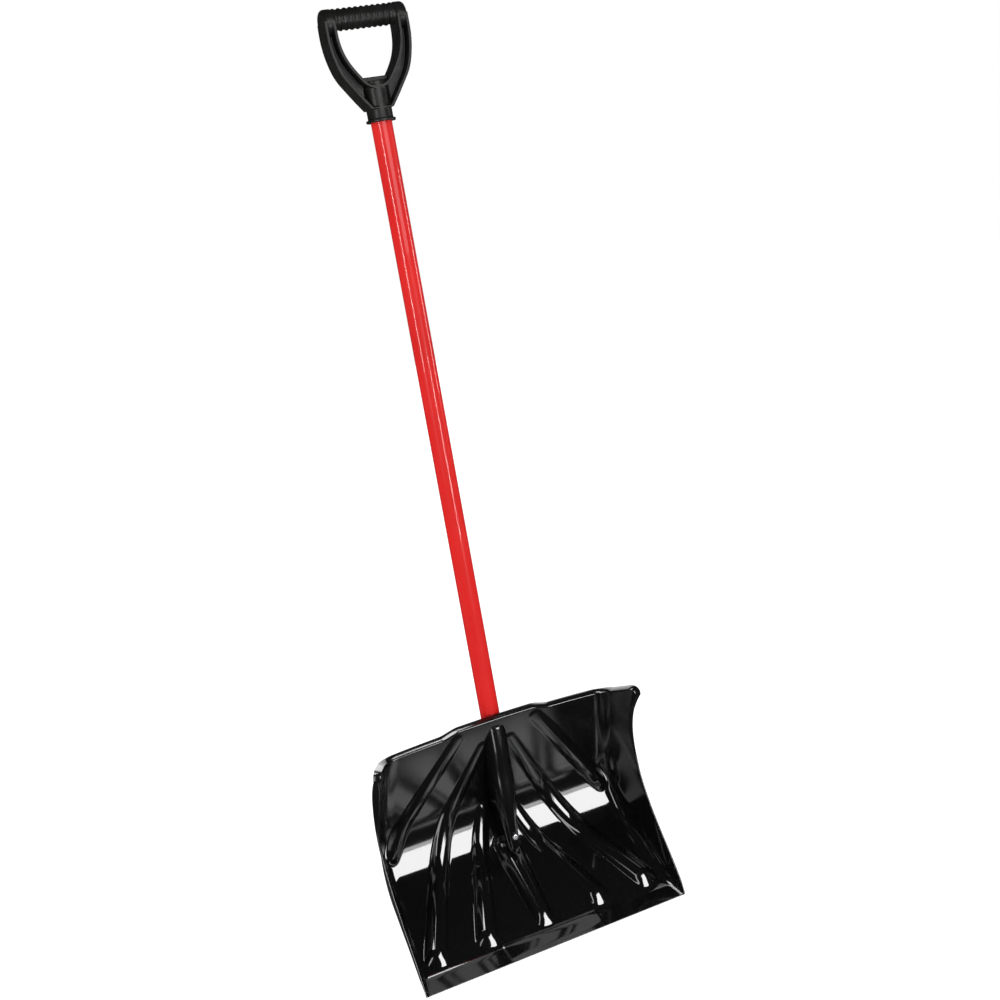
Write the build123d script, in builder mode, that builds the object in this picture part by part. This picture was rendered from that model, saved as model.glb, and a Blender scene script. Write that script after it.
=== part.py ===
from build123d import *
import os
from math import atan2, cos, radians, sin

# Snow shovel: a ribbed plastic scoop, a straight steel tube and a plastic D-grip, held by two screws.
# Millimetres. The tube stands along +Z, the scoop opens towards -Y and its leading edge is at the bottom.
# The origin is the middle of the leading edge's bottom face.

os.makedirs("parts", exist_ok=True)

# ---------------------------------------------------------------- driving dimensions
HALF_WIDTH = 226.0          # inside half width of the scoop at its leading edge
SHEET = 2.5                 # wall of the moulding
EDGE_FRONT = -2.0           # front corner of the leading edge
EDGE_DEPTH = 4.0            # depth of its flat bottom face

# side view of the floor, from the leading edge up: (length, turn in degrees) of each stretch
LIP_SLOPE = 15.6
STRETCHES = ((27.0, 0.0), (20.0, 18.9), (121.0, 0.0), (133.7, 81.5), (141.0, 0.0))
RUN = sum(length for length, turn in STRETCHES)
RIM_LIP = 11.0              # flange turned back along the rim

CREASE_FOOT = 222.0         # where floor and side wall meet, at the leading edge and at the rim
CREASE_TOP = 187.0
WALL_ROOT = 0.4             # the side walls stand this far out behind the floor
WALL_EDGE = ((EDGE_FRONT, 0.5), (34.5, 97.6), (175.6, 188.8), (40.2, 347.7))

# raised ribs: lower end (x, s) and upper end (x, s), half widths there and height,
# where s is the distance from the leading edge along the floor
CENTRE_RIB = ((0.0, 54.0), (0.0, 190.0), (15.5, 22.0), 11.0)
INNER_RIB = ((99.5, 57.0), (27.0, 258.0), (18.0, 11.0), 10.0)
MID_RIB = ((186.0, 58.0), (33.0, 392.0), (18.0, 9.0), 10.0)
OUTER_RIB = ((196.0, 236.0), (76.0, 426.0), (14.0, 10.0), 8.0)

SHAFT_Y = 130.5             # tube axis behind the leading edge
TUBE_R = 15.5
TUBE_WALL = 1.5
TUBE_FOOT = 122.0           # lower end of the tube, inside the socket
TUBE_HEAD = 1317.0          # upper end, inside the grip
SWAGE_R = 8.0               # the tube is swaged down to this radius at its foot
SWAGE_LOW = 150.0
SWAGE_HIGH = 222.0

SOCKET_WALL = 3.4
SOCKET_TOP = 327.0
TUNNEL_DEPTH = 70.0
TUNNEL_SECTIONS = ((104.0, 9.0), (SWAGE_LOW, SWAGE_R + SOCKET_WALL),
                   (SWAGE_HIGH + 4, TUBE_R + SOCKET_WALL), (SOCKET_TOP, TUBE_R + SOCKET_WALL))
REACH = 400.0               # longer than the scoop is deep
WINDOW_WEB = 1.0            # slot behind the socket, this far from it
WINDOW_LOW = 165.0
WINDOW_HIGH = 292.0
WINDOW_WIDTH = 22.0
RIM_CLEAR = 400.0           # the bore runs out above the rim

GRIP_FOOT = 1268.0
GRIP_SOCKET_R = 18.6
GRIP_SOCKET_TOP = 1325.0
BEAD_R = 21.6
BEAD = 4.0
BAR_Z = 1414.0
BAR_R = 14.2
RING_R = 15.6
RING = 2.6
RINGS = 11
RING_PITCH = 8.6
GRIP_HALF = 62.3
GRIP_DEPTH = 37.0
BAND = 4.4
WEB = 4.4
OPENING_SILL = 1331.5
# right half of the grip's outline and of its U shaped opening, (x, z) from the bottom up
ARM_OUTER = ((17.0, 1286.0), (29.0, 1302.0), (41.0, 1319.0), (50.0, 1333.0), (57.5, 1353.0), (62.3, 1380.0),
             (62.3, 1412.0))
OPENING = ((0.0, 1318.5), (13.0, 1321.5), (24.0, 1333.5), (36.0, 1352.0), (43.5, 1372.0), (46.0, 1398.0),
           (46.0, 1412.0))

FIT = 0.15                  # clearance round the tube and the screws
SCREW_Z = 136.0
SCREW_SEAT = 12.4
SCREW_BOSS_R = 6.6
SCREW_HEAD = 2.6
SCREW_LENGTH = 14.0
SCREW_HEAD_R = 5.0
SCREW_R = 2.4
GRIP_SCREW_Z = 1297.0


def floor_point(s, lift=0.0):
    """Point (y, z) and slope of the floor's front face at distance s, lifted off it by lift."""
    y, z, slope = EDGE_FRONT, 0.0, radians(LIP_SLOPE)
    for length, turn in STRETCHES:
        part = max(0.0, min(s, length))
        bend = radians(turn) * part / length
        chord = part * sin(bend / 2) / (bend / 2) if bend else part
        y += chord * cos(slope + bend / 2)
        z += chord * sin(slope + bend / 2)
        slope += bend
        s -= length
    return y - lift * sin(slope), z + lift * cos(slope), slope


def crease_x(z):
    """Half width of the flat floor at height z."""
    return CREASE_FOOT + (CREASE_TOP - CREASE_FOOT) * z / floor_point(RUN)[1]


def floor_path(lift):
    """Corners of the floor in side view, lifted off its front face, with the middle of each bend."""
    points = [floor_point(0.0, lift)[:2]]
    done = 0.0
    for length, turn in STRETCHES:
        if turn:
            points.append(floor_point(done + length / 2, lift)[:2])
        done += length
        points.append(floor_point(done, lift)[:2])
    return points


def draw_path(points):
    """Draw the straight, bent, straight, bent, straight side view through the points of floor_path."""
    Line(*points[0:2])
    ThreePointArc(*points[1:4])
    Line(*points[3:5])
    ThreePointArc(*points[4:7])
    Line(*points[6:8])


def layer(low, high):
    """Everything between two lifts off the floor, from side to side of the scoop."""
    with BuildPart() as part:
        with BuildSketch(Plane.YZ):
            with BuildLine():
                draw_path(floor_path(low))
                draw_path(floor_path(high))
                Line(floor_path(low)[0], floor_path(high)[0])
                Line(floor_path(low)[-1], floor_path(high)[-1])
            make_face()
        extrude(amount=HALF_WIDTH, both=True)
    return part.part


def rib(lower, upper, widths, height, inset=0.0):
    """Raised rib: a long rounded outline in front view, cut out of a layer of the floor.
    With an inset it is the hollow behind the rib instead."""
    run_x, run_s = upper[0] - lower[0], upper[1] - lower[1]
    heading = atan2(run_s, run_x)
    outline = []
    top_end = (upper, widths[1], (-90, -45, 0, 45, 90))
    bottom_end = (lower, widths[0], (90, 135, 180, 225, 270))
    for (x, s), width, turns in (top_end, bottom_end):
        for turn in turns:
            angle = heading + radians(turn)
            reach = width - inset
            outline.append((x + reach * cos(angle), floor_point(s + reach * sin(angle))[1]))
    with BuildPart() as bar:
        with BuildSketch(Plane.XZ):
            with BuildLine():
                Spline(*outline, periodic=True)
            make_face()
        extrude(amount=-REACH)
    return bar.part & layer(-SHEET / 2 - inset, height - inset)


def tube_outline(gap):
    """Outside of the tube as (radius, height), with its swaged foot, grown by gap."""
    return [(SWAGE_R + gap, TUBE_FOOT - gap), (SWAGE_R + gap, SWAGE_LOW), (TUBE_R + gap, SWAGE_HIGH),
            (TUBE_R + gap, TUBE_HEAD)]


def draw_grip(half, mode=Mode.ADD):
    """Closed outline symmetric about the tube axis: half is its right side from the bottom up."""
    with BuildLine() as line:
        Spline(*half)
        Spline(*[(-x, z) for x, z in half])
        Line(half[-1], (-half[-1][0], half[-1][1]))
        if half[0][0] > 0:
            Line(half[0], (-half[0][0], half[0][1]))
    make_face(line.edges(), mode=mode)


def inset_grip(half, inset):
    """The outline moved inwards by inset, outwards if it is negative."""
    moved = []
    for i, (x, z) in enumerate(half):
        a, b = half[max(0, i - 1)], half[min(len(half) - 1, i + 1)]
        way = Vector(b[0] - a[0], b[1] - a[1]).normalized()
        moved.append((max(0.0, x - inset * way.Y), z + inset * way.X))
    return moved


# ---------------------------------------------------------------- blade
front_path = floor_path(0.0)
back_path = floor_path(-SHEET)
back_path[0] = (EDGE_FRONT + EDGE_DEPTH, 0.0)
lip = [floor_point(run, lift)[:2] for run, lift in ((RUN, -RIM_LIP), (RUN - SHEET, -RIM_LIP), (RUN - SHEET, -SHEET))]
back_path[-1] = lip[-1]

# tunnel over the tube, from the rim down to a rounded nose, deep enough to pass through the floor
with BuildPart() as tunnel:
    for z, r in TUNNEL_SECTIONS:
        with BuildSketch(Plane.XY.offset(z)):
            with Locations((0, SHAFT_Y)):
                Circle(r)
            with Locations((0, SHAFT_Y + TUNNEL_DEPTH / 2)):
                Rectangle(2 * r, TUNNEL_DEPTH)
    loft(ruled=True)

# the round sleeve of the socket, which stands out behind the upper part of the floor
with BuildPart() as sleeve:
    for z, r in TUNNEL_SECTIONS:
        with BuildSketch(Plane.XY.offset(z)):
            with Locations((0, SHAFT_Y)):
                Circle(r)
    loft(ruled=True)

# the space in front of the floor
with BuildPart() as space:
    with BuildSketch(Plane.YZ):
        with BuildLine():
            path = floor_path(-SHEET / 2)
            draw_path(path)
            Polyline(path[-1], (path[-1][0], REACH), (-REACH, REACH), (-REACH, path[0][1]), path[0])
        make_face()
    extrude(amount=HALF_WIDTH, both=True)

with BuildPart() as blade:
    # floor and rim lip in one strip
    with BuildSketch(Plane.YZ):
        with BuildLine():
            draw_path(front_path)
            Polyline(front_path[-1], *lip)
            draw_path(back_path)
            Line(front_path[0], back_path[0])
        make_face()
    extrude(amount=HALF_WIDTH, both=True)

    # cut along the creases
    for side in (1, -1):
        lean = (CREASE_FOOT - CREASE_TOP) / front_path[-1][1]
        split(bisect_by=Plane((side * (CREASE_FOOT + SHEET / 2), 0, 0), z_dir=(side, 0, lean)), keep=Keep.BOTTOM)

    # ribs, hollow behind
    for shape in (INNER_RIB, MID_RIB, OUTER_RIB):
        for solid, way in ((rib(*shape), Mode.ADD), (rib(*shape, inset=SHEET), Mode.SUBTRACT)):
            add(solid, mode=way)
            add(mirror(solid, about=Plane.YZ, mode=Mode.PRIVATE), mode=way)
    add(rib(*CENTRE_RIB))
    add(rib(*CENTRE_RIB, inset=SHEET), mode=Mode.SUBTRACT)

    # socket, bored for the tube and hollow between the tube and the floor
    add(tunnel.part & space.part)
    add(sleeve.part)
    with BuildSketch(Plane.XZ.offset(-SHAFT_Y)):
        with BuildLine():
            Polyline(*tube_outline(FIT), (0.0, RIM_CLEAR), (0.0, TUBE_FOOT - FIT), tube_outline(FIT)[0])
        make_face()
    revolve(axis=Axis((0, SHAFT_Y, 0), (0, 0, 1)), mode=Mode.SUBTRACT)
    with BuildSketch(Plane.XZ.offset(-SHAFT_Y - TUBE_R - SOCKET_WALL - WINDOW_WEB)):
        with Locations((0, (WINDOW_LOW + WINDOW_HIGH) / 2)):
            SlotOverall(WINDOW_HIGH - WINDOW_LOW, WINDOW_WIDTH, rotation=90)
    extrude(amount=-TUNNEL_DEPTH, mode=Mode.SUBTRACT)

    # side walls, from just behind the crease to the free edge
    stations = [RUN * i / 10 for i in range(11)]
    crease_points = [(crease_x(floor_point(s)[1]), *floor_point(s, -SHEET - WALL_ROOT)[:2]) for s in stations]
    crease_line = Edge.make_spline([Vector(*point) for point in crease_points])
    free_edge = Edge.make_bezier(*[Vector(HALF_WIDTH, *point) for point in WALL_EDGE])
    inside = Face.make_surface_from_curves(crease_line, free_edge)
    wall = Solid.thicken(inside, SHEET)
    if wall.bounding_box().max.X < HALF_WIDTH + 1:
        wall = Solid.thicken(inside, -SHEET)
    add(wall)
    add(mirror(wall, about=Plane.YZ, mode=Mode.PRIVATE))
    split(bisect_by=Plane.XY, keep=Keep.TOP)

    # boss under the head of the screw, on the front of the socket, and its pilot hole
    with BuildSketch(Plane.XZ.offset(-SHAFT_Y + SWAGE_R + 1.0)):
        with Locations((0, SCREW_Z)):
            Circle(SCREW_BOSS_R)
    extrude(amount=SCREW_SEAT - SWAGE_R - 1.0)
    with BuildSketch(Plane.XZ.offset(-SHAFT_Y)):
        with Locations((0, SCREW_Z)):
            Circle(SCREW_R + FIT)
    extrude(amount=TUBE_R + SOCKET_WALL + 5, mode=Mode.SUBTRACT)
blade.part.label = "blade"
export_step(blade.part, "parts/blade.step")

# ---------------------------------------------------------------- tube
with BuildPart() as shaft_tube:
    with BuildSketch(Plane.XZ.offset(-SHAFT_Y)):
        with BuildLine():
            outside = tube_outline(0.0)
            within = [(r - TUBE_WALL, z) for r, z in outside]
            Polyline(*outside, *reversed(within), outside[0])
        make_face()
    revolve(axis=Axis((0, SHAFT_Y, 0), (0, 0, 1)))
    for z, way in ((SCREW_Z, 1), (GRIP_SCREW_Z, -1)):
        with BuildSketch(Plane.XZ.offset(-SHAFT_Y)):
            with Locations((0, z)):
                Circle(SCREW_R + FIT)
        extrude(amount=way * (TUBE_R + 1), mode=Mode.SUBTRACT)
shaft_tube.part.label = "shaft_tube"
export_step(shaft_tube.part, "parts/shaft_tube.step")

# ---------------------------------------------------------------- grip
grip_plane = Plane.XZ.offset(-SHAFT_Y)
with BuildPart() as d_grip:
    # web, with the hand opening cut out above its straight sill
    with BuildSketch(grip_plane):
        draw_grip(ARM_OUTER)
        with BuildSketch(mode=Mode.PRIVATE) as opening:
            draw_grip(OPENING)
        with BuildSketch(mode=Mode.PRIVATE) as above_sill:
            with Locations((0, OPENING_SILL + 60)):
                Rectangle(120, 120)
        add(opening.sketch & above_sill.sketch, mode=Mode.SUBTRACT)
    extrude(amount=WEB / 2, both=True)

    # outer and inner bands over the full depth
    for outline, inset in ((ARM_OUTER, BAND), (OPENING, -BAND)):
        with BuildSketch(grip_plane):
            draw_grip(outline if inset > 0 else inset_grip(outline, inset))
            draw_grip(inset_grip(outline, inset) if inset > 0 else outline, mode=Mode.SUBTRACT)
        extrude(amount=GRIP_DEPTH / 2, both=True)

    # bar with its rings
    with BuildSketch(Plane.YZ):
        with Locations((SHAFT_Y, BAR_Z)):
            Circle(BAR_R)
    extrude(amount=GRIP_HALF - BAND / 2, both=True)
    for i in range(RINGS):
        with BuildSketch(Plane.YZ.offset((i - (RINGS - 1) / 2) * RING_PITCH - RING / 2)):
            with Locations((SHAFT_Y, BAR_Z)):
                Circle(RING_R)
        extrude(amount=RING)

    # socket over the tube, with a bead at its mouth
    with BuildSketch(Plane.XY.offset(GRIP_FOOT)):
        with Locations((0, SHAFT_Y)):
            Circle(GRIP_SOCKET_R)
    extrude(amount=GRIP_SOCKET_TOP - GRIP_FOOT)
    with BuildSketch(Plane.XY.offset(GRIP_FOOT)):
        with Locations((0, SHAFT_Y)):
            Circle(BEAD_R)
    extrude(amount=BEAD)
    with BuildSketch(Plane.XY.offset(GRIP_FOOT)):
        with Locations((0, SHAFT_Y)):
            Circle(TUBE_R + FIT)
    extrude(amount=TUBE_HEAD - GRIP_FOOT, mode=Mode.SUBTRACT)
    with BuildSketch(grip_plane):
        with Locations((0, GRIP_SCREW_Z)):
            Circle(SCREW_R + FIT)
    extrude(amount=-(BEAD_R + 1), mode=Mode.SUBTRACT)
d_grip.part.label = "d_grip"
export_step(d_grip.part, "parts/d_grip.step")


# ---------------------------------------------------------------- screws
def screw(name, z, seat, way):
    """Pan head screw along Y at height z, its head seated seat away from the tube axis."""
    with BuildPart() as pin:
        with BuildSketch(Plane.XZ.offset(-SHAFT_Y + way * seat)):
            with Locations((0, z)):
                Circle(SCREW_HEAD_R)
        extrude(amount=way * SCREW_HEAD)
        fillet(pin.edges().filter_by(GeomType.CIRCLE).sort_by(Axis.Y)[-1 if way < 0 else 0], SCREW_HEAD * 0.6)
        with BuildSketch(Plane.XZ.offset(-SHAFT_Y + way * (seat + SCREW_HEAD))):
            with Locations((0, z)):
                Rectangle(SCREW_HEAD_R, 1.0)
                Rectangle(1.0, SCREW_HEAD_R)
        extrude(amount=-way * SCREW_HEAD * 0.5, mode=Mode.SUBTRACT)
        with BuildSketch(Plane.XZ.offset(-SHAFT_Y + way * seat)):
            with Locations((0, z)):
                Circle(SCREW_R)
        extrude(amount=-way * SCREW_LENGTH)
    pin.part.label = name
    export_step(pin.part, "parts/" + name + ".step")


screw("blade_screw", SCREW_Z, SCREW_SEAT, 1)
screw("grip_screw", GRIP_SCREW_Z, GRIP_SOCKET_R, -1)
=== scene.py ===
from math import cos, pi, radians, sin

import bmesh
import bpy
import numpy as np
from mathutils import Matrix, Vector

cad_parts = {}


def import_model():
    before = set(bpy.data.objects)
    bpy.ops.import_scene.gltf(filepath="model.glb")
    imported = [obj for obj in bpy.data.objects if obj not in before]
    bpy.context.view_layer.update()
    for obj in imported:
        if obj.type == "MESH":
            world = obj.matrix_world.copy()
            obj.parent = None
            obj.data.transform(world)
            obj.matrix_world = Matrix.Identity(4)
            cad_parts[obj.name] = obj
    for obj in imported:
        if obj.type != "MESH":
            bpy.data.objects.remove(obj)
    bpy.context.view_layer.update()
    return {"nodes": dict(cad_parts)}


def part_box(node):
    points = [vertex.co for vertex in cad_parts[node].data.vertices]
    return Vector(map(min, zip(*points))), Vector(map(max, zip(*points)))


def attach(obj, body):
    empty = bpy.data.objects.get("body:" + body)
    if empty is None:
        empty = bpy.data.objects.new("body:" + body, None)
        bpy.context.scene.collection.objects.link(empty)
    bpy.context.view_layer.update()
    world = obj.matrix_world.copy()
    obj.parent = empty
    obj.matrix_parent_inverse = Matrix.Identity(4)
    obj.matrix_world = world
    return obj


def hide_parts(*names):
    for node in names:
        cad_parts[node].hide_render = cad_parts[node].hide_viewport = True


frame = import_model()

# Snow shovel. Lengths in the shape functions are millimetres, as in the CAD; meshes are made in metres.
MM = 0.001
BLADE_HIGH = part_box("blade")[1]
TUBE_LOW, TUBE_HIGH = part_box("shaft_tube")
SHAFT_Y = (TUBE_LOW.y + TUBE_HIGH.y) / 2 / MM
TUBE_R = (TUBE_HIGH.x - TUBE_LOW.x) / 2 / MM
TUBE_FOOT = TUBE_LOW.z / MM
TUBE_HEAD = TUBE_HIGH.z / MM


# ---------------------------------------------------------------- shared shape helpers
def smooth_step(t):
    t = np.clip(t, 0.0, 1.0)
    return t * t * (3 - 2 * t)


def blur(field, times):
    """Softens a grid of numbers, keeping its borders."""
    for _ in range(times):
        for axis in (0, 1):
            before = np.take(field, np.maximum(np.arange(field.shape[axis]) - 1, 0), axis)
            last = field.shape[axis] - 1
            after = np.take(field, np.minimum(np.arange(last + 1) + 1, last), axis)
            field = 0.25 * before + 0.5 * field + 0.25 * after
    return field


def unit(vectors):
    return vectors / np.maximum(1e-9, np.linalg.norm(vectors, axis=-1, keepdims=True))


def circle(sides):
    """Cosines and sines of equal turns round a circle."""
    turns = np.linspace(0, 2 * pi, sides, endpoint=False)
    return np.cos(turns), np.sin(turns)


def shaft_ring(r, z, sides):
    """Points of a level circle round the axis of the shaft."""
    cosines, sines = circle(sides)
    return np.stack([r * cosines, SHAFT_Y + r * sines, np.full(sides, z)], -1)


def make_object(name, points, faces, material):
    """A smooth mesh object from points in millimetres."""
    mesh = bpy.data.meshes.new(name)
    mesh.from_pydata((np.asarray(points, float) * MM).tolist(), [], [list(map(int, f)) for f in faces])
    mesh.validate()
    mesh.polygons.foreach_set("use_smooth", [True] * len(mesh.polygons))
    mesh.update()
    obj = bpy.data.objects.new(name, mesh)
    bpy.context.scene.collection.objects.link(obj)
    mesh.materials.append(material)
    return obj


def weld(obj, gap=0.02):
    """Joins points that lie together and makes all normals face outwards."""
    form = bmesh.new()
    form.from_mesh(obj.data)
    bmesh.ops.remove_doubles(form, verts=form.verts, dist=gap * MM)
    bmesh.ops.recalc_face_normals(form, faces=form.faces)
    form.to_mesh(obj.data)
    form.free()


def skinned(name, loops, material):
    """Closed skin through a row of loops with the same number of points."""
    sides = len(loops[0])
    faces = []
    for k in range(len(loops) - 1):
        for i in range(sides):
            j = (i + 1) % sides
            faces.append((k * sides + i, k * sides + j, (k + 1) * sides + j, (k + 1) * sides + i))
    faces.append(tuple(range(sides))[::-1])
    faces.append(tuple((len(loops) - 1) * sides + i for i in range(sides)))
    obj = make_object(name, np.concatenate(loops), faces, material)
    weld(obj)
    return obj


# ---------------------------------------------------------------- scoop
SHEET = 2.5
HALF_WIDTH = BLADE_HIGH.x / MM - SHEET
WALL_MARGIN = 0.3
EDGE_FRONT = -2.0
LIP_SLOPE = 15.6

# the floor in side view, from the leading edge to the rim: length and turn in degrees of each stretch
STRETCHES = ((27.0, 0.0), (20.0, 18.9), (121.0, 0.0), (133.7, 81.5), (141.0, 0.0))
RUN = sum(length for length, turn in STRETCHES)

# half width of the floor at its two ends, and the rounding between floor and side wall
CREASE_FOOT = 222.0
CREASE_TOP = 187.0
CREASE_ROUND = 22.0
CREASE_WALL_SHARE = 0.45

# control points (y, z) of the side wall's free edge
WALL_EDGE = ((EDGE_FRONT, 0.5), (34.5, 97.6), (175.6, 188.8), (40.2, 346.5))
CORNER_R = 16.0
CORNER_FADE = 8
RIM_ARCH = 9.0
HOOD_RISE = 8.0
HOOD_HALF = 62.0
HOOD_SIDE = 34.0
HOOD_FADE = 6
EDGE_SHEET = 1.1
EDGE_TAPER = 27.0

# the lip turned back along the rim, which grows up the side walls between two heights
RIM_LIP = 9.0
LIP_SHEET = 2.2
LIP_ROUND = 1.2
LIP_BEVEL = 0.4
LIP_START, LIP_FULL = 190.0, 300.0
LIP_GROW = 2.0
BARE_EDGE_SHARE = 0.6
LIP_SMOOTHING = 6
PAD_HALF, PAD_DEPTH, PAD_RISE = 82.0, 38.0, 0.6
PAD_SOFT, PAD_START = 2.0, 12.0

# raised ribs: lower end (x, s), upper end (x, s), half widths and heights at both
CENTRE_RIB = ((0.0, 54.0), (0.0, 200.0), (15.5, 22.0), (12.0, 12.0))
INNER_RIB = ((99.5, 57.0), (24.0, 266.0), (18.0, 11.0), (12.0, 3.0))
MID_RIB = ((186.0, 58.0), (24.0, 410.0), (18.5, 10.0), (12.0, 1.5))
OUTER_RIB = ((194.0, 240.0), (68.0, 442.0), (15.0, 11.0), (10.0, 1.0))
RIBS = (CENTRE_RIB, INNER_RIB, MID_RIB, OUTER_RIB)
RIB_RAMP = 30.0
RIB_RAMP_POWER = 1.35
RIB_SOFTENING = 2

COLUMNS = 421
ROWS = 331


def floor_at(s):
    """Side view of the floor: (y, z, slope) at distance s from the leading edge. It runs on past the rim."""
    y, z = np.full_like(s, EDGE_FRONT), np.zeros_like(s)
    slope, left = np.full_like(s, radians(LIP_SLOPE)), s.copy()
    for i, (length, turn) in enumerate(STRETCHES):
        part = np.maximum(0.0, left if i == len(STRETCHES) - 1 else np.minimum(left, length))
        half = radians(turn) * part / length / 2
        chord = part * np.sinc(half / pi)
        y, z = y + chord * np.cos(slope + half), z + chord * np.sin(slope + half)
        slope, left = slope + 2 * half, left - length
    return y, z, slope


def wall_edge(t):
    """Free edge of the side wall in side view."""
    weights = ((1 - t) ** 3, 3 * t * (1 - t) ** 2, 3 * t * t * (1 - t), t ** 3)
    return [sum(w * p[k] for w, p in zip(weights, WALL_EDGE)) for k in (0, 1)]


def lip_at(z):
    """Depth of the rim's lip at height z."""
    return RIM_LIP * smooth_step((z - LIP_START) / (LIP_FULL - LIP_START))


def rib_height(x, s):
    """Height of the ribs over the sheet. Each starts as a ramp at its lower end."""
    height = np.zeros_like(x)
    for (x0, s0), (x1, s1), widths, heights in RIBS:
        run_x, run_s = x1 - x0, s1 - s0
        length = np.hypot(run_x, run_s)
        along = ((x - x0) * run_x + (s - s0) * run_s) / length
        t = np.clip(along / length, 0, 1)
        gap = np.hypot(x - x0 - t * run_x, s - s0 - t * run_s)
        gap = np.minimum(1.0, gap / (widths[0] + (widths[1] - widths[0]) * t))
        dome = 0.5 * np.cos(pi * gap / 2) + 0.5 * np.sqrt(1 - gap * gap)
        ramp = 1 - (1 - np.clip((along + widths[0]) / RIB_RAMP, 0, 1)) ** RIB_RAMP_POWER
        height = np.maximum(height, (heights[0] + (heights[1] - heights[0]) * t) * dome * ramp)
    return height


def scoop_skin():
    """The plain sheet's front on a grid: distance out from the middle, distance up, points and normals."""
    u = np.linspace(-1, 1, COLUMNS)[None, :]
    v = np.linspace(0, 1, ROWS)[:, None]
    y, z, _ = floor_at(v * RUN)
    top = floor_at(np.array([RUN]))[1][0]
    crease = CREASE_FOOT - (CREASE_FOOT - CREASE_TOP) * z / top
    edge_y, edge_z = wall_edge(v)
    wall_foot_to_edge = HALF_WIDTH - WALL_MARGIN - lip_at(edge_z) - crease
    rise = np.stack([wall_foot_to_edge, edge_y - y, edge_z - z], -1)
    wall = np.linalg.norm(rise, axis=-1)
    way = rise / wall[..., None]
    q = np.abs(u) * (crease + wall)
    blend = np.minimum(CREASE_ROUND, CREASE_WALL_SHARE * wall)

    # distance up the floor, with the arched rim, the hood over the tube and the rounded corners
    across = np.minimum(q, crease)
    arch = RIM_ARCH * (1 - np.minimum(1, across / CREASE_TOP) ** 2)
    hood = HOOD_RISE * smooth_step((HOOD_HALF + HOOD_SIDE - across) / HOOD_SIDE)
    s = v * (RUN + arch + hood * v ** HOOD_FADE)
    corner = np.clip(q - (crease + wall - CORNER_R), 0, CORNER_R)
    s = s - v ** CORNER_FADE * (CORNER_R - np.sqrt(CORNER_R ** 2 - corner ** 2))

    # the rounded change from floor to side wall
    y, z, _ = floor_at(s)
    t = np.clip((q - crease + blend) / (2 * blend), 0, 1)
    flat = np.minimum(q, crease - blend) + 2 * blend * t * (1 - t) + blend * t * t
    up_wall = blend * t * t + np.maximum(0, q - crease - blend)
    x = np.sign(u) * (flat + up_wall * way[..., 0])
    skin = np.stack([x, y + up_wall * way[..., 1], z + up_wall * way[..., 2]], -1)
    normal = unit(np.cross(np.gradient(skin, axis=1), np.gradient(skin, axis=0)))
    return q, s, skin, normal


def free_edge():
    """Grid rows and columns along the border, from one lower corner over the top to the other."""
    up = np.arange(ROWS)
    over = np.arange(COLUMNS - 2, 0, -1)
    rows = np.concatenate([up, np.full_like(over, ROWS - 1), up[::-1]])
    columns = np.concatenate([np.full_like(up, COLUMNS - 1), over, np.zeros_like(up)])
    return rows, columns


def lip_rings(front, normal, sheet):
    """Rings of points along the free edge, which round it and turn the lip back."""
    rows, columns = free_edge()
    edge = front[rows, columns]
    backwards = -normal[rows, columns]
    inwards = front[np.minimum(rows, ROWS - 2), np.clip(columns, 1, COLUMNS - 2)] - edge
    outwards = unit(np.cross(unit(np.gradient(edge, axis=0)), -backwards))
    outwards *= -np.sign((outwards * inwards).sum(-1, keepdims=True))
    for _ in range(LIP_SMOOTHING):
        outwards[1:-1] = unit(0.25 * outwards[:-2] + 0.5 * outwards[1:-1] + 0.25 * outwards[2:])
    lip = lip_at(edge[:, 2])
    depth = sheet[rows, columns] + lip
    rings = []
    for angle in (30, 60, 90):
        turn = radians(angle)
        rings.append(edge + outwards * LIP_ROUND * sin(turn) + backwards * LIP_ROUND * (1 - cos(turn)))
    inside = LIP_ROUND - LIP_SHEET
    for out, down in ((LIP_ROUND, -LIP_BEVEL), (LIP_ROUND - LIP_BEVEL, 0.0),
                      (inside + LIP_BEVEL, 0.0), (inside, -LIP_BEVEL)):
        out = np.where(lip > 0, out, max(out, 0.0) * BARE_EDGE_SHARE)
        share = smooth_step(lip / LIP_GROW) if out.min() < 0 else 1.0
        rings.append(edge + outwards * (out * share)[:, None] + backwards * (depth + down)[:, None])
    return rings


def scoop_faces(ring_count):
    """Faces over the points of the front, the back and the lip rings, in that order."""
    count = ROWS * COLUMNS
    number = np.arange(count).reshape(ROWS, COLUMNS)
    corners = [number[:-1, :-1], number[:-1, 1:], number[1:, 1:], number[1:, :-1]]
    front = np.stack(corners, -1).reshape(-1, 4)
    foot = number[0]
    faces = [front, (front + count)[:, ::-1],
             np.stack([foot[1:], foot[:-1], foot[:-1] + count, foot[1:] + count], -1)]
    edge = number[free_edge()]
    chain = [edge]
    chain += [2 * count + k * len(edge) + np.arange(len(edge)) for k in range(ring_count)]
    chain.append(edge + count)
    for one, other in zip(chain, chain[1:]):
        faces.append(np.stack([one[:-1], one[1:], other[1:], other[:-1]], -1)[:, ::-1])
    faces = np.concatenate(faces).tolist()
    faces.append([int(line[0]) for line in chain])
    faces.append([int(line[-1]) for line in chain][::-1])
    return faces


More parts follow.
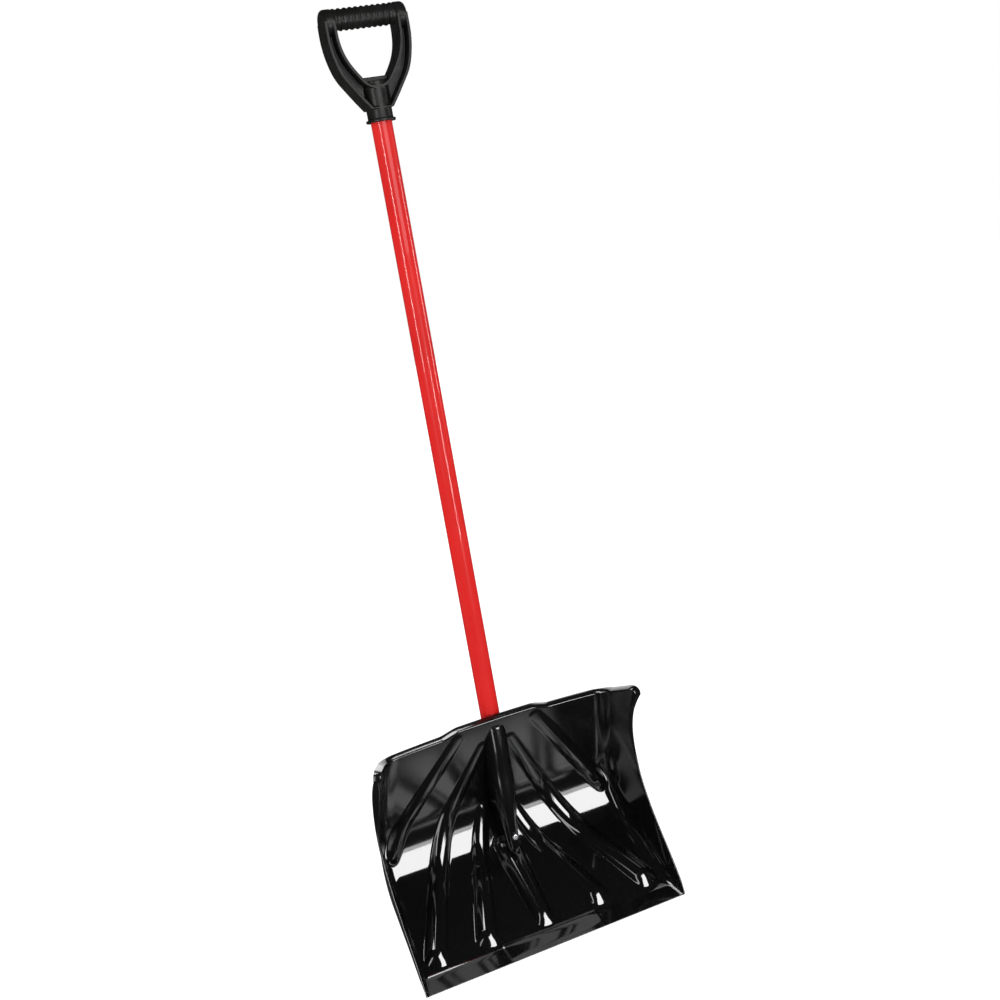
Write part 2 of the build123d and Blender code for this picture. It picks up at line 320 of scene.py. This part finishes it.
def scoop_shell(material):
    """The sheet of the scoop with its ribs, the pad at the leading edge and the lip along the rim."""
    q, s, skin, normal = scoop_skin()
    pad_x = smooth_step((PAD_HALF - q) / PAD_SOFT + 0.5)
    pad_s = smooth_step((PAD_DEPTH - s) / PAD_SOFT + 0.5)
    pad = PAD_RISE * pad_x * pad_s * smooth_step(s / PAD_START)
    lift = blur(rib_height(q, s), RIB_SOFTENING) + pad
    sheet = np.clip(EDGE_SHEET + (SHEET - EDGE_SHEET) * s / EDGE_TAPER, 0, SHEET)
    front = skin + normal * lift[..., None]
    back = skin + normal * (lift - sheet)[..., None]
    front[0, :, 2] = 0.0
    rings = lip_rings(front, normal, sheet)
    points = np.concatenate([front.reshape(-1, 3), back.reshape(-1, 3)] + rings)
    points[:, 2] = np.maximum(points[:, 2], 0.0)
    obj = make_object("scoop", points, scoop_faces(len(rings)), material)
    weld(obj)
    return obj


# ---------------------------------------------------------------- socket
NOSE_LOW, NOSE_ROUND = 101.0, 12.0
NOSE_STEPS = 12
NOSE_TIP_SHARE = 0.05
SOCKET_TOP = 331.0
SOCKET_BULGE = 0.20
BULGE_LOW, BULGE_RUN = 240.0, 60.0
FLOOR_BITE = 1.0

# radius of the tunnel at each height
TUNNEL = ((96.0, 8.0), (114.0, 9.4), (136.0, 10.4), (155.0, 11.4), (173.0, 13.9), (191.0, 17.0),
          (210.0, 18.9), (228.0, 19.6), (SOCKET_TOP, 19.6))
TUNNEL_STEPS = 90
TUNNEL_SOFTENING = 40
TUNNEL_FROM, TUNNEL_MARGIN = 90.0, 20.0
SOCKET_SIDES = 64
BORE_GAP = 0.25
BORE_DEPTH = 6.0

# steps in and down from the socket's top edge, and out and down from the edge of its bore
MOUTH_ROUND = ((0.4, 0.3), (1.2, 0.0))
BORE_ROUND = ((0.5, 0.0), (0.0, 0.5), (0.0, BORE_DEPTH))


def scoop_socket(material):
    """The tunnel over the tube: round in front, and filled back to the floor or round behind it."""
    nose = NOSE_LOW + NOSE_ROUND * (1 - np.cos(np.linspace(0.1, pi / 2, NOSE_STEPS)))
    tunnel = np.linspace(NOSE_LOW + NOSE_ROUND + 2, SOCKET_TOP - MOUTH_ROUND[-1][0], TUNNEL_STEPS)
    known_z, known_r = zip(*TUNNEL)
    floor_y, floor_z, _ = floor_at(np.linspace(0, RUN, 400))
    cosines, sines = circle(SOCKET_SIDES)

    def loop(r, z):
        depth = np.interp(z, floor_z, floor_y) + FLOOR_BITE - SHAFT_Y
        bulge = 1 + SOCKET_BULGE * smooth_step((z - BULGE_LOW) / BULGE_RUN)
        behind = np.maximum(r * sines, depth * (sines > 0.01))
        out = np.where(sines > -1e-9, behind, bulge * r * sines)
        return np.stack([r * cosines, SHAFT_Y + out, np.full(SOCKET_SIDES, z)], -1)

    smooth_z = np.arange(TUNNEL_FROM, SOCKET_TOP + TUNNEL_MARGIN, 1.0)
    smooth_r = blur(np.interp(smooth_z, known_z, known_r)[None, :], TUNNEL_SOFTENING)[0]
    loops = []
    for z in np.concatenate([nose, tunnel]):
        r = np.interp(z, smooth_z, smooth_r)
        share = np.sqrt(max(0.0, 1 - max(0.0, (NOSE_LOW + NOSE_ROUND - z) / NOSE_ROUND) ** 2))
        loops.append(loop(r * max(share, NOSE_TIP_SHARE), z))
    loops += [loop(known_r[-1] - inset, SOCKET_TOP - down) for inset, down in MOUTH_ROUND]
    bore = TUBE_R + BORE_GAP
    loops += [shaft_ring(bore + out, SOCKET_TOP - down, SOCKET_SIDES) for out, down in BORE_ROUND]
    return skinned("scoop_socket", loops, material)


# ---------------------------------------------------------------- tube
TUBE_SIDES = 96
TUBE_STEPS = 40
TUBE_CHAMFER = 0.6
SWAGE_R, SWAGE_LOW, SWAGE_HIGH = 8.0, 150.0, 222.0


def shaft(material):
    """The tube, closed at its hidden ends."""
    profile = [(SWAGE_R - TUBE_CHAMFER, TUBE_FOOT), (SWAGE_R, TUBE_FOOT + TUBE_CHAMFER),
               (SWAGE_R, SWAGE_LOW), (TUBE_R, SWAGE_HIGH)]
    profile += [(TUBE_R, z) for z in np.linspace(SWAGE_HIGH + 20, TUBE_HEAD - TUBE_CHAMFER, TUBE_STEPS)]
    profile.append((TUBE_R - TUBE_CHAMFER, TUBE_HEAD))
    return skinned("tube", [shaft_ring(r, z, TUBE_SIDES) for r, z in profile], material)


# ---------------------------------------------------------------- grip
GRIP_VOXEL = 0.0007
END_R, END_ROUND = 18.5, 6.0
END_INNER, END_TAPER = 45.0, 3.0
END_SIDES = 72
END_STEPS = 7


def grip_ends(material):
    """Round shoulders where the arms of the grip run into its bar."""
    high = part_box("d_grip")[1]
    outer, top = high.x / MM, high.z / MM
    cosines, sines = circle(END_SIDES)
    profile = [(END_INNER, END_R - END_TAPER), (END_INNER + END_TAPER, END_R)]
    for a in np.linspace(0, pi / 2, END_STEPS):
        profile.append((outer - END_ROUND * (1 - sin(a)), END_R - END_ROUND * (1 - cos(a))))
    ends = []
    for side in (-1, 1):
        loops = []
        for x, r in profile:
            loops.append(np.stack([np.full(END_SIDES, side * x), SHAFT_Y + r * cosines,
                                   top - END_R + r * sines], -1))
        ends.append(skinned("grip_end", loops, material))
    return ends


def moulded_copy(node, name, material, extras):
    """A copy of a CAD node, joined with extra shapes, with the softly rounded edges of a moulding."""
    mesh = frame["nodes"][node].data.copy()
    mesh.name = name
    obj = bpy.data.objects.new(name, mesh)
    bpy.context.scene.collection.objects.link(obj)
    weld(obj, 0.001)
    for extra in extras:
        joined = obj.modifiers.new("join", "BOOLEAN")
        joined.operation = "UNION"
        joined.object = extra
    remesh = obj.modifiers.new("remesh", "REMESH")
    remesh.mode = "VOXEL"
    remesh.voxel_size = GRIP_VOXEL
    relax = obj.modifiers.new("relax", "SMOOTH")
    relax.factor = 0.5
    relax.iterations = 3
    bpy.context.view_layer.update()
    final = bpy.data.meshes.new_from_object(obj.evaluated_get(bpy.context.evaluated_depsgraph_get()))
    obj.modifiers.clear()
    for extra in extras:
        bpy.data.objects.remove(extra)
    obj.data = final
    final.materials.clear()
    final.materials.append(material)
    final.polygons.foreach_set("use_smooth", [True] * len(final.polygons))
    return obj


# ---------------------------------------------------------------- materials
BLACK = (0.004, 0.004, 0.0045)
SCUFF_GREY = (0.16, 0.16, 0.16)


def new_material(name, colour, roughness, coat=0.0, metallic=0.0):
    material = bpy.data.materials.new(name)
    material.use_nodes = True
    shader = material.node_tree.nodes["Principled BSDF"]
    shader.inputs["Base Color"].default_value = (*colour, 1)
    shader.inputs["Roughness"].default_value = roughness
    shader.inputs["Metallic"].default_value = metallic
    shader.inputs["Coat Weight"].default_value = coat
    shader.inputs["Coat Roughness"].default_value = 0.04
    return material, shader


class Nodes:
    """Short calls for the nodes of one material."""

    def __init__(self, material):
        self.tree = material.node_tree
        self.place = self.tree.nodes.new("ShaderNodeTexCoord").outputs["Object"]

    def link(self, one, other):
        self.tree.links.new(one, other)

    def stretched(self, scale):
        node = self.tree.nodes.new("ShaderNodeMapping")
        node.inputs["Scale"].default_value = scale
        self.link(self.place, node.inputs["Vector"])
        return node.outputs["Vector"]

    def noise(self, scale, detail=3.0, place=None):
        node = self.tree.nodes.new("ShaderNodeTexNoise")
        node.inputs["Scale"].default_value = scale
        node.inputs["Detail"].default_value = detail
        self.link(place or self.place, node.inputs["Vector"])
        return node.outputs["Fac"]

    def cells(self, scale):
        node = self.tree.nodes.new("ShaderNodeTexVoronoi")
        node.inputs["Scale"].default_value = scale
        self.link(self.place, node.inputs["Vector"])
        return node.outputs["Distance"]

    def range(self, value, low, high, to_low, to_high):
        node = self.tree.nodes.new("ShaderNodeMapRange")
        for key, number in zip(("From Min", "From Max", "To Min", "To Max"), (low, high, to_low, to_high)):
            node.inputs[key].default_value = number
        self.link(value, node.inputs["Value"])
        return node.outputs["Result"]

    def maths(self, way, one, other):
        node = self.tree.nodes.new("ShaderNodeMath")
        node.operation = way
        for value, socket in zip((one, other), node.inputs):
            if isinstance(value, (int, float)):
                socket.default_value = value
            else:
                self.link(value, socket)
        return node.outputs["Value"]

    def height(self):
        node = self.tree.nodes.new("ShaderNodeSeparateXYZ")
        self.link(self.place, node.inputs["Vector"])
        return node.outputs["Z"]

    def mix(self, share, one, other):
        node = self.tree.nodes.new("ShaderNodeMix")
        node.data_type = "RGBA"
        node.inputs["A"].default_value = (*one, 1)
        node.inputs["B"].default_value = (*other, 1)
        self.link(share, node.inputs["Factor"])
        return node.outputs["Result"]

    def bump(self, height, strength, distance, shader):
        node = self.tree.nodes.new("ShaderNodeBump")
        node.inputs["Strength"].default_value = strength
        node.inputs["Distance"].default_value = distance
        self.link(height, node.inputs["Height"])
        self.link(node.outputs["Normal"], shader.inputs["Normal"])


def scoop_plastic():
    """Glossy black, with specks of dust, scuffs near the leading edge and a duller upper half."""
    material, shader = new_material("scoop_plastic", BLACK, 0.07)
    shader.inputs["IOR"].default_value = 1.5
    make = Nodes(material)
    low = make.range(make.height(), 0.0, 0.06, 1.0, 0.0)
    specks = make.range(make.cells(420.0), 0.05, 0.11, 1.0, 0.0)
    patches = make.range(make.noise(28.0, 4.0), 0.62, 0.74, 0.0, 1.0)
    dust = make.maths("MULTIPLY", specks, patches)
    scuffs = make.range(make.noise(900.0, 2.0, make.stretched((0.25, 1.0, 1.0))), 0.60, 0.72, 0.0, 1.0)
    worn = make.maths("MULTIPLY", scuffs, low)
    marks = make.maths("MAXIMUM", make.maths("MULTIPLY", dust, 0.5), make.maths("MULTIPLY", worn, 0.10))
    make.link(make.mix(marks, BLACK, SCUFF_GREY), shader.inputs["Base Color"])
    film = make.range(make.noise(14.0, 5.0), 0.35, 0.75, 0.05, 0.11)
    rough = make.maths("ADD", film, make.maths("MULTIPLY", marks, 0.5))
    rough = make.maths("ADD", rough, make.range(make.height(), 0.135, 0.185, 0.0, 0.08))
    make.link(rough, shader.inputs["Roughness"])
    make.bump(make.noise(32.0, 1.0), 0.12, 0.0003, shader)
    return material


def shaft_paint():
    """Red gloss paint with faint clouds and streaks along the tube."""
    material, shader = new_material("shaft_paint", (0.70, 0.012, 0.011), 0.3, coat=0.6)
    shader.inputs["Specular IOR Level"].default_value = 0.25
    make = Nodes(material)
    cloud = make.range(make.noise(9.0, 3.0), 0.3, 0.7, 0.0, 1.0)
    make.link(make.mix(cloud, (0.64, 0.009, 0.008), (0.74, 0.015, 0.013)), shader.inputs["Base Color"])
    make.link(make.range(make.noise(60.0, 3.0, make.stretched((1, 1, 0.1))), 0.3, 0.7, 0.22, 0.34),
              shader.inputs["Roughness"])
    make.bump(make.noise(260.0, 2.0), 0.08, 0.0003, shader)
    return material


def grip_plastic():
    """Satin black with a fine grain."""
    material, shader = new_material("grip_plastic", (0.012, 0.0115, 0.011), 0.36)
    shader.inputs["Specular IOR Level"].default_value = 0.45
    make = Nodes(material)
    cloud = make.range(make.noise(60.0, 4.0), 0.3, 0.7, 0.0, 1.0)
    make.link(make.mix(cloud, (0.0075, 0.007, 0.0065), (0.014, 0.0135, 0.013)), shader.inputs["Base Color"])
    make.link(make.range(make.noise(90.0, 4.0), 0.3, 0.7, 0.30, 0.42), shader.inputs["Roughness"])
    make.bump(make.noise(1400.0, 3.0), 0.25, 0.0002, shader)
    return material


def screw_steel():
    material, shader = new_material("screw_steel", (0.30, 0.30, 0.31), 0.3, metallic=1.0)
    make = Nodes(material)
    make.link(make.range(make.noise(900.0, 2.0, make.stretched((1, 1, 0.1))), 0.3, 0.7, 0.22, 0.42),
              shader.inputs["Roughness"])
    make.bump(make.noise(1500.0, 2.0), 0.1, 0.0001, shader)
    return material


# ---------------------------------------------------------------- pieces
plastic = scoop_plastic()
paint = shaft_paint()
satin = grip_plastic()
steel = screw_steel()

scoop = scoop_shell(plastic)
socket = scoop_socket(plastic)
for piece in (scoop, socket):
    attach(piece, "root")
    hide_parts("blade")
tube = shaft(paint)
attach(tube, "root")
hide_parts("shaft_tube")
grip = moulded_copy("d_grip", "grip", satin, grip_ends(satin))
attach(grip, "root")
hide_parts("d_grip")
for node in ("blade_screw", "grip_screw"):
    screw = frame["nodes"][node]
    screw.data.materials.clear()
    screw.data.materials.append(steel)

# ---------------------------------------------------------------- stage, lights and camera
FLOOR_HALF, FLOOR_DROP = 8.0, -0.002
GLOSSY_SURROUNDINGS = 0.03

# name, place, target, width, height and radiance of each light
SCOOP_LIGHTS = (
    ("softbox", (0.55, -1.42, 0.60), (0.0, 0.12, 0.3), 0.95, 1.25, 22.0),
    ("softbox_fade", (0.55, -1.40, -0.12), (0.0, 0.12, 0.3), 0.95, 0.18, 9.0),
    ("strip", (-1.35, -1.15, 0.5), (0.0, 0.13, 0.5), 0.32, 2.3, 7.0),
    ("top_left", (-0.60, 0.45, 2.1), (-0.1, 0.12, 0.1), 1.1, 0.9, 15.0),
    ("lip_light", (0.30, 0.66, 2.3), (0.0, 0.12, 0.3), 0.5, 0.34, 16.0),
    ("back_wall", (0.6, 2.4, 0.9), (0.0, 0.1, 0.4), 2.6, 1.8, 2.0))
HANDLE_LIGHTS = (
    ("handle_left", (-1.30, -1.10, 1.07), (0.0, 0.13, 1.0), 0.10, 0.75, 34.0),
    ("handle_front", (0.40, -1.35, 0.52), (0.0, 0.13, 0.7), 0.07, 0.50, 40.0),
    ("handle_right", (1.60, -0.25, 0.95), (0.0, 0.13, 0.9), 0.14, 0.60, 14.0),
    ("handle_fill", (0.3, -2.2, 1.6), (0.0, 0.13, 1.2), 1.6, 1.2, 2.6))

CAMERA_PLACE = Vector((-0.6739, -1.7814, 1.1354))
YAW, PITCH, ROLL = radians(21.523), radians(12.475), radians(-9.945)
LENS, SENSOR = 48.6, 36.0


def white_floor():
    """A floor that shines white to the camera, but isn't mirrored in the pieces and casts no shadow."""
    mesh = bpy.data.meshes.new("floor")
    corners = ((-1, -1), (1, -1), (1, 1), (-1, 1))
    mesh.from_pydata([(FLOOR_HALF * x, FLOOR_HALF * y, FLOOR_DROP) for x, y in corners], [], [(0, 1, 2, 3)])
    floor = bpy.data.objects.new("floor", mesh)
    bpy.context.scene.collection.objects.link(floor)
    material, shader = new_material("floor_white", (0.3, 0.3, 0.3), 0.9)
    shader.inputs["Emission Color"].default_value = (1, 1, 1, 1)
    shader.inputs["Emission Strength"].default_value = 1.0
    mesh.materials.append(material)
    floor.visible_glossy = False
    floor.visible_shadow = False


def world():
    """White all round, but nearly black in reflections, so that only the lights are mirrored."""
    scene_world = bpy.data.worlds.new("studio")
    bpy.context.scene.world = scene_world
    scene_world.use_nodes = True
    tree = scene_world.node_tree
    ground = tree.nodes["Background"]
    ground.inputs["Color"].default_value = (1, 1, 1, 1)
    path = tree.nodes.new("ShaderNodeLightPath")
    strength = tree.nodes.new("ShaderNodeMapRange")
    strength.inputs["To Min"].default_value = 1.0
    strength.inputs["To Max"].default_value = GLOSSY_SURROUNDINGS
    tree.links.new(path.outputs["Is Glossy Ray"], strength.inputs["Value"])
    tree.links.new(strength.outputs["Result"], ground.inputs["Strength"])


def panel(name, place, target, width, height, radiance):
    """A light of the given radiance, facing target. It shows only in reflections."""
    data = bpy.data.lights.new(name, "AREA")
    data.shape = "RECTANGLE"
    data.size, data.size_y = width, height
    data.energy = radiance * pi * width * height
    light = bpy.data.objects.new(name, data)
    bpy.context.scene.collection.objects.link(light)
    light.location = place
    light.rotation_euler = (Vector(target) - Vector(place)).to_track_quat("-Z", "Y").to_euler()
    light.visible_camera = False
    light.visible_diffuse = False
    return light


def only_on(light, pieces):
    """Keeps a light to some pieces, as a flag between the light and the others does."""
    group = bpy.data.collections.new(light.name + "_on")
    for piece in pieces:
        group.objects.link(piece)
    light.light_linking.receiver_collection = group


def place_camera():
    ahead = Vector((sin(YAW) * cos(PITCH), cos(YAW) * cos(PITCH), -sin(PITCH)))
    right = Vector((cos(YAW), -sin(YAW), 0.0))
    over = right.cross(ahead)
    camera_x = cos(ROLL) * right + sin(ROLL) * over
    camera_y = -sin(ROLL) * right + cos(ROLL) * over
    data = bpy.data.cameras.new("camera")
    data.lens = LENS
    data.sensor_width = SENSOR
    camera = bpy.data.objects.new("camera", data)
    bpy.context.scene.collection.objects.link(camera)
    turn = Matrix((camera_x, camera_y, -ahead)).transposed().to_4x4()
    camera.matrix_world = Matrix.Translation(CAMERA_PLACE) @ turn
    bpy.context.scene.camera = camera


white_floor()
world()
scoop_pieces = (scoop, socket, frame["nodes"]["blade_screw"])
handle_pieces = (tube, grip, frame["nodes"]["grip_screw"])
for lights, pieces in ((SCOOP_LIGHTS, scoop_pieces), (HANDLE_LIGHTS, handle_pieces)):
    for light in lights:
        only_on(panel(*light), pieces)
place_camera()
bpy.context.scene.view_settings.view_transform = "Standard"
